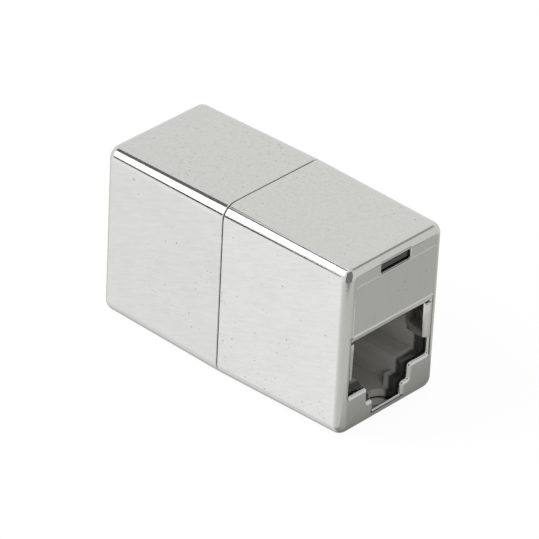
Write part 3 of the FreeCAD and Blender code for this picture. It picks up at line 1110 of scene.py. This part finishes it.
@dataclass(frozen=True)
class SoftenedNode:
    """A CAD node with its loose triangles joined and its sharp edges given a small radius.

    Attributes:
        node: The node's name.
        slot: Its material slot, which is not used here.
        radius: The radius given to its edges.
        segments: The number of flats round each edge.
        flat_deg: Faces that bend less than this are joined into one.
        smooth_deg: Edges that bend less than this are shaded smooth.
        sharp_deg: Edges that bend more than this get the radius.
    """

    node: str
    slot: str
    radius: float
    segments: int = 2
    flat_deg: float = 1.0
    smooth_deg: float = 35.0
    sharp_deg: float = 50.0

    def build(self, finish: bpy.types.Material) -> bpy.types.Object:
        """Dress the node.

        Args:
            finish: Its material.

        Returns:
            The dressed piece that stands for it.
        """
        shape = bmesh.new()
        shape.from_mesh(frame["nodes"][self.node].data)
        bmesh.ops.remove_doubles(shape, verts=shape.verts, dist=1e-7)
        flat = math.radians(self.flat_deg)
        bmesh.ops.dissolve_limit(shape, angle_limit=flat, verts=shape.verts, edges=shape.edges)
        piece = finish_piece(f"{self.node}_finished", shape, self.smooth_deg)
        edge = piece.modifiers.new("softened edges", "BEVEL")
        edge.width = self.radius * MM
        edge.segments = self.segments
        edge.limit_method = "ANGLE"
        edge.angle_limit = math.radians(self.sharp_deg)
        weigh_normals(piece)
        piece.data.materials.append(finish)
        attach(piece, BODY)
        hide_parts(self.node)
        return piece


@dataclass(frozen=True)
class SocketCore:
    """What the shells hold: the moulded body, the contact modules, the contacts and the board.

    Attributes:
        body: The body's plastic, with painted shade towards its ends.
        module: The darker plastic of the contact modules.
        wire: The contacts' finish.
        board: The board's finish.
        radii: The radius along the edges of each of these, in this order.
    """

    # The body's fifth value is where its painted shade begins along X.
    body: Moulding = Moulding("body_plastic", (0.21, 0.208, 0.193, 1), (0.255, 0.252, 0.235, 1), 0.24, 16.3)
    module: Moulding = Moulding("module_plastic", (0.030, 0.030, 0.031, 1), (0.045, 0.045, 0.046, 1), 0.5)
    wire: GoldWire = GoldWire()
    board: BoardLaminate = BoardLaminate()
    radii: tuple[float, ...] = (0.07, 0.04, 0.06, 0.05)

    def build(self) -> list[bpy.types.Object]:
        """Dress each inner piece with the finish that its material slot in the CAD's record names.

        Returns:
            The dressed pieces.
        """
        finishes = (self.body, self.module, self.wire, self.board)
        looks = {finish.name: (radius, finish.material()) for finish, radius in zip(finishes, self.radii)}
        pieces = []
        for subpart in frame["record"]["subparts"]:
            slot = subpart["material_slot"]
            if slot in looks:
                radius, material = looks[slot]
                pieces.append(SoftenedNode(subpart["node"], slot, radius).build(material))
        return pieces


# ---------------------------------------------------------------------------------------------
# Stage, light and camera
# ---------------------------------------------------------------------------------------------


@dataclass(frozen=True)
class Card:
    """A flat card that only polished surfaces see: glowing, or near black.

    Attributes:
        name: The card's name.
        centre: Its middle, in millimetres.
        across: The unit vector along its width.
        along: The unit vector along its height.
        size: Its width and height.
        glow: The brightness of its face.
        fade: How much of an oval card fades out towards its outline, 0 for a plain rectangle.
    """

    name: str
    centre: Triple
    across: Triple
    along: Triple
    size: Pair
    glow: float
    fade: float = 0.0

    def build(self) -> bpy.types.Object:
        """Make the card, and hide it from the camera and from soft light.

        Returns:
            The card.
        """
        corners = np.array([[-1, -1], [1, -1], [1, 1], [-1, 1]]) * np.array(self.size) / 2
        points = np.array(self.centre) + corners @ np.array([self.across, self.along])
        mesh = bpy.data.meshes.new(self.name)
        mesh.from_pydata((points * MM).tolist(), [], [(0, 1, 2, 3)])
        mesh.materials.append(self.material())
        card = link_object(self.name, mesh)
        card.visible_camera = card.visible_diffuse = card.visible_shadow = False
        card.visible_transmission = card.visible_volume_scatter = False
        return card

    def covered(self, shader: Shader) -> Socket | float:
        """Write how solid the card is: 1, or fading out where sqrt(u^2 + v^2) nears 1.

        Args:
            shader: The material's writer.

        Returns:
            The share, u and v being the ways from the middle as shares of half the size.
        """
        if not self.fade:
            return 1.0
        offset = shader.vector_math("SUBTRACT", shader.millimetres(), self.centre).outputs["Vector"]
        squares = []
        for way, length in zip((self.across, self.along), self.size):
            part = shader.vector_math("DOT_PRODUCT", offset, way).outputs["Value"]
            squares.append(shader.math("POWER", shader.math("DIVIDE", part, length / 2), 2.0))
        out = shader.math("SQRT", shader.plus(*squares))
        return shader.ramp(out, ((1.0 - self.fade, 1.0), (1.0, 0.0)))

    def material(self) -> bpy.types.Material:
        """Write a plain glow, clear where the card isn't solid.

        Returns:
            The material.
        """
        shader = Shader(self.name)
        glow = shader.add("ShaderNodeEmission", {"Strength": self.glow}).outputs["Emission"]
        clear = shader.add("ShaderNodeBsdfTransparent").outputs["BSDF"]
        return shader.output(shader.mix(self.covered(shader), clear, glow))


@dataclass(frozen=True)
class SoftBox:
    """A long soft box with a black strip along its lower and upper edge.

    Attributes:
        name: The box's name.
        span: Where it starts and ends along X.
        edges: The heights up its slope of the lower strip, the glowing face and the upper strip.
        glows: The brightness of the lower strip, the face and the upper strip.
        foot: The place (y, z) from which the heights are measured.
        slope: The unit vector (y, z) up its face.
    """

    name: str
    span: Pair
    edges: tuple[float, ...]
    glows: Triple = (0.02, 1.7, 0.02)
    foot: Pair = (-292.0, 306.0)
    slope: Pair = (0.738, 0.675)

    def build(self) -> None:
        """Make the strips and the face as three cards edge to edge."""
        for label, low, high, glow in zip(("lower", "face", "upper"), self.edges, self.edges[1:], self.glows):
            y, z = (start + way * (low + high) / 2 for start, way in zip(self.foot, self.slope))
            middle, size = (sum(self.span) / 2, y, z), (self.span[1] - self.span[0], high - low)
            Card(f"{self.name}_{label}", middle, (1, 0, 0), (0, *self.slope), size, glow).build()


@dataclass(frozen=True)
class Lamp:
    """A square soft lamp that faces the coupler and that the metal doesn't mirror.

    Attributes:
        name: The lamp's name.
        place: Its middle, in millimetres.
        size: Its side, in millimetres.
        watts: Its power.
    """

    name: str
    place: Triple
    size: float
    watts: float

    def build(self) -> None:
        """Add the lamp to the scene."""
        light = bpy.data.lights.new(self.name, "AREA")
        light.size = self.size * MM
        light.energy = self.watts
        lamp = link_object(self.name, light)
        lamp.location = Vector(self.place) * MM
        lamp.rotation_euler = (-lamp.location).to_track_quat("-Z", "Y").to_euler()
        lamp.visible_glossy = False


@dataclass(frozen=True)
class Studio:
    """A white floor in a pale room, with soft lamps and the cards that the metal mirrors.

    Attributes:
        floor_half: Half the floor's width.
        foot: Half the coupler's length and width, where it meets the floor.
        beside: How much of the room the floor beside the coupler mirrors, by the distance from its outline.
        ahead: The same in front of the coupler's front end, by the distance from that end.
        behind: How this shade ends behind the front end, by the same distance.
        near_corner, far_corner: Where along Y it fades out.
        floor_tone: The floor's own colour.
        floor_glow: The share of plain white in the floor that the camera sees.
        dim_tint: The slight warmth of the room where it is dim.
        warmth: The brightness up to which the room is warm, and from which it is neutral.
        low_round: The brightness of the floor near by, as the metal mirrors it, by the bearing from +X.
        far_round: The same for the far floor and the walls.
        high_round: The same for the ceiling.
        low_to_far, far_to_high: The heights of the gaze, as sines, over which each gives way to the next.
        lamps: The soft lamps.
        boxes: The soft boxes that the long upper edge mirrors, which meet behind the coupler's rear half.
        flags: The dark cards that the top's end rim and the front corner mirror.
    """

    floor_half: float = 900.0
    foot: Pair = (18.0, 8.0)
    beside: Stops = ((-1.0, 0.75), (2.0, 1.0))
    ahead: Stops = ((0.0, 0.55), (4.5, 0.80), (12.0, 1.0))
    behind: Stops = ((-1.0, 1.0), (-0.2, 0.0))
    near_corner: Pair = (-9.4, -7.6)
    far_corner: Pair = (10.0, 14.5)
    floor_tone: Colour = (0.9, 0.9, 0.9, 1.0)
    floor_glow: float = 0.93
    dim_tint: Colour = (1.0, 0.995, 0.935, 1.0)
    warmth: Pair = (0.45, 0.95)
    low_round: Stops = (
        (-180, 0.68), (-172, 0.84), (-145, 0.86), (-133.4, 0.865), (-129.4, 0.93), (-122, 0.97),
        (-111, 0.91), (-99, 0.78), (-87, 0.70), (-75, 0.63), (-62, 0.60), (-38, 0.57), (-10, 0.55),
        (18, 0.535), (38, 0.52), (46, 0.43), (66, 0.43), (80, 0.55), (87, 0.62), (97, 0.48), (108, 0.43),
        (128, 0.43), (149, 0.60), (168, 0.62), (180, 0.68))
    far_round: Stops = (
        (-180, 0.72), (-133, 0.92), (-118, 0.95), (-90, 0.80), (-62, 0.68), (20, 0.66), (48, 0.64),
        (90, 0.66), (120, 0.76), (142, 0.76), (180, 0.72))
    high_round: Stops = (
        (-180, 0.75), (-160, 0.86), (-90, 0.90), (-20, 0.70), (30, 0.65), (52, 0.65), (70, 0.73),
        (105, 0.75), (180, 0.75))
    low_to_far: Pair = (-0.47, -0.40)
    far_to_high: Pair = (0.25, 0.40)
    lamps: tuple[Lamp, ...] = (
        Lamp("key", (-280, -300, 330), 300, 1.5),
        Lamp("fill", (330, -240, 200), 220, 0.9))
    boxes: tuple[SoftBox, ...] = (
        SoftBox("front_box", (-302, 20), (-234, -213, 128, 192)),
        SoftBox("rear_box", (-560, -302), (-420, -264, 104, 318), (0.02, 1.7, 0.11)))
    flags: tuple[Card, ...] = (
        Card("top_flag", (225, 318, 340), (0, 1, 0), (-0.814, 0, 0.581), (700, 190), 0.28, 0.5),
        Card("corner_flag", (44.5, -22, 33), (0.469, 0.883, 0), (0, 0, 1), (42, 66), 0.19))

    def open_share(self, shader: Shader) -> Socket:
        """Write how much of the room the floor mirrors, less where the coupler shades it.

        Next to the foot it goes by max(|x| - half length, |y| - half width), and in front of the front
        end by a longer slope along x, which fades out past both of that end's corners.

        Args:
            shader: The floor's writer.

        Returns:
            The share, 1 in the open.
        """
        x, y, _ = shader.axes(shader.millimetres())
        outside = [shader.math("SUBTRACT", shader.math("ABSOLUTE", place), half)
                   for place, half in zip((x, y), self.foot)]
        front = shader.math("SUBTRACT", x, self.foot[0])
        ahead = shader.curve(front, 0.0, self.ahead[-1][0], self.ahead)
        behind_end = shader.ramp(front, self.behind)
        near = shader.ramp(y, ((self.near_corner[0], 1.0), (self.near_corner[1], 0.0)))
        beyond = shader.rise(y, *self.far_corner)
        beside = shader.ramp(shader.most(*outside), self.beside)
        return shader.times(beside, shader.most(ahead, behind_end, near, beyond))

    def floor(self) -> bpy.types.Object:
        """Make the floor: white to the eye with the coupler's soft shadow, and clear to the metal.

        Reflected rays pass through it to the room below, apart from the share that the coupler shades.

        Returns:
            The floor.
        """
        corners = np.array([[-1, -1, 0], [1, -1, 0], [1, 1, 0], [-1, 1, 0]]) * self.floor_half * MM
        mesh = bpy.data.meshes.new("floor")
        mesh.from_pydata(corners.tolist(), [], [(0, 1, 2, 3)])
        shader = Shader("floor_white")
        shader.surface(Base_Color=self.floor_tone, Roughness=0.9)
        path = shader.add("ShaderNodeLightPath").outputs
        clear = shader.add("ShaderNodeBsdfTransparent", {"Color": self.open_share(shader)}).outputs["BSDF"]
        white = shader.add("ShaderNodeEmission").outputs["Emission"]
        glowing = shader.times(path["Is Camera Ray"], self.floor_glow)
        seen = shader.mix(glowing, shader.principled.outputs["BSDF"], white)
        mirrored = shader.most(path["Is Glossy Ray"], path["Is Transmission Ray"])
        mesh.materials.append(shader.output(shader.mix(mirrored, seen, clear)))
        floor = link_object("floor", mesh)
        return floor

    def room(self) -> None:
        """Set a pale room: white to the eye, and in the metal brighter on some bearings than on others."""
        world = bpy.data.worlds.new("room")
        bpy.context.scene.world = world
        world.use_nodes = True
        shader = NodeWriter(world.node_tree)
        x, y, z = shader.axes(shader.add("ShaderNodeTexCoord").outputs["Generated"])
        bearing = shader.math("DEGREES", shader.math("ARCTAN2", y, x))
        low, far, high = (shader.curve(bearing, -180.0, 180.0, stops)
                          for stops in (self.low_round, self.far_round, self.high_round))
        level = shader.blend(shader.rise(z, *self.low_to_far), low, far)
        level = shader.blend(shader.rise(z, *self.far_to_high), level, high)
        level = shader.most(level, shader.add("ShaderNodeLightPath").outputs["Is Camera Ray"])
        tint = shader.blend(shader.rise(level, *self.warmth), self.dim_tint, (1.0, 1.0, 1.0, 1.0))
        background = shader.tree.nodes["Background"]
        shader.feed(background.inputs["Strength"], level)
        shader.feed(background.inputs["Color"], tint)

    def build(self) -> None:
        """Make the floor, the room, the lamps and the cards."""
        self.floor()
        self.room()
        for part in (*self.lamps, *self.boxes, *self.flags):
            part.build()


@dataclass(frozen=True)
class Camera:
    """A long lens that looks down on the near side and the front end.

    Attributes:
        azimuth_deg: The way it stands off, turned from -Y towards +X.
        elevation_deg: Its height over the horizon.
        roll_deg: Its turn about its line of sight.
        distance: Its distance from the target.
        lens: The focal length.
        sensor: The sensor's width.
        nearest: The least distance at which it sees.
        target: The point that it looks at.
    """

    azimuth_deg: float = 41.412
    elevation_deg: float = 32.117
    roll_deg: float = 2.929
    distance: float = 527.76
    lens: float = 320.10
    sensor: float = 36.0
    nearest: float = 10.0
    target: Triple = (0.12, -0.18, 10.63)

    def build(self) -> bpy.types.Object:
        """Set the scene's camera, turned about its line of sight by the roll.

        Returns:
            The camera.
        """
        azimuth, elevation = math.radians(self.azimuth_deg), math.radians(self.elevation_deg)
        level = Vector((math.sin(azimuth), -math.cos(azimuth), 0.0))
        back = level * math.cos(elevation) + Vector((0.0, 0.0, math.sin(elevation)))
        data = bpy.data.cameras.new("camera")
        data.lens = self.lens
        data.sensor_width = self.sensor
        data.clip_start = self.nearest * MM
        camera = link_object("camera", data)
        aim = back.to_track_quat("Z", "Y").to_matrix().to_4x4()
        roll = Matrix.Rotation(math.radians(self.roll_deg), 4, "Z")
        place = Matrix.Translation((Vector(self.target) + back * self.distance) * MM)
        camera.matrix_world = place @ aim @ roll
        bpy.context.scene.camera = camera
        return camera


# ---------------------------------------------------------------------------------------------
# The coupler
# ---------------------------------------------------------------------------------------------


def main() -> None:
    """Dress the coupler, piece by piece, and set the stage."""
    logging.basicConfig(level=logging.INFO, format="%(name)s: %(message)s")
    bpy.context.scene.view_settings.view_transform = "Standard"
    Camera().build()
    nickel = NickelPlate().material()
    shell = ShellHalf.from_frame()
    for piece in [shell.build(end, nickel) for end in End] + SocketCore().build():
        LOG.info("%s: %d faces", piece.name, len(piece.data.polygons))
    Studio().build()


if __name__ == "__main__":
    main()
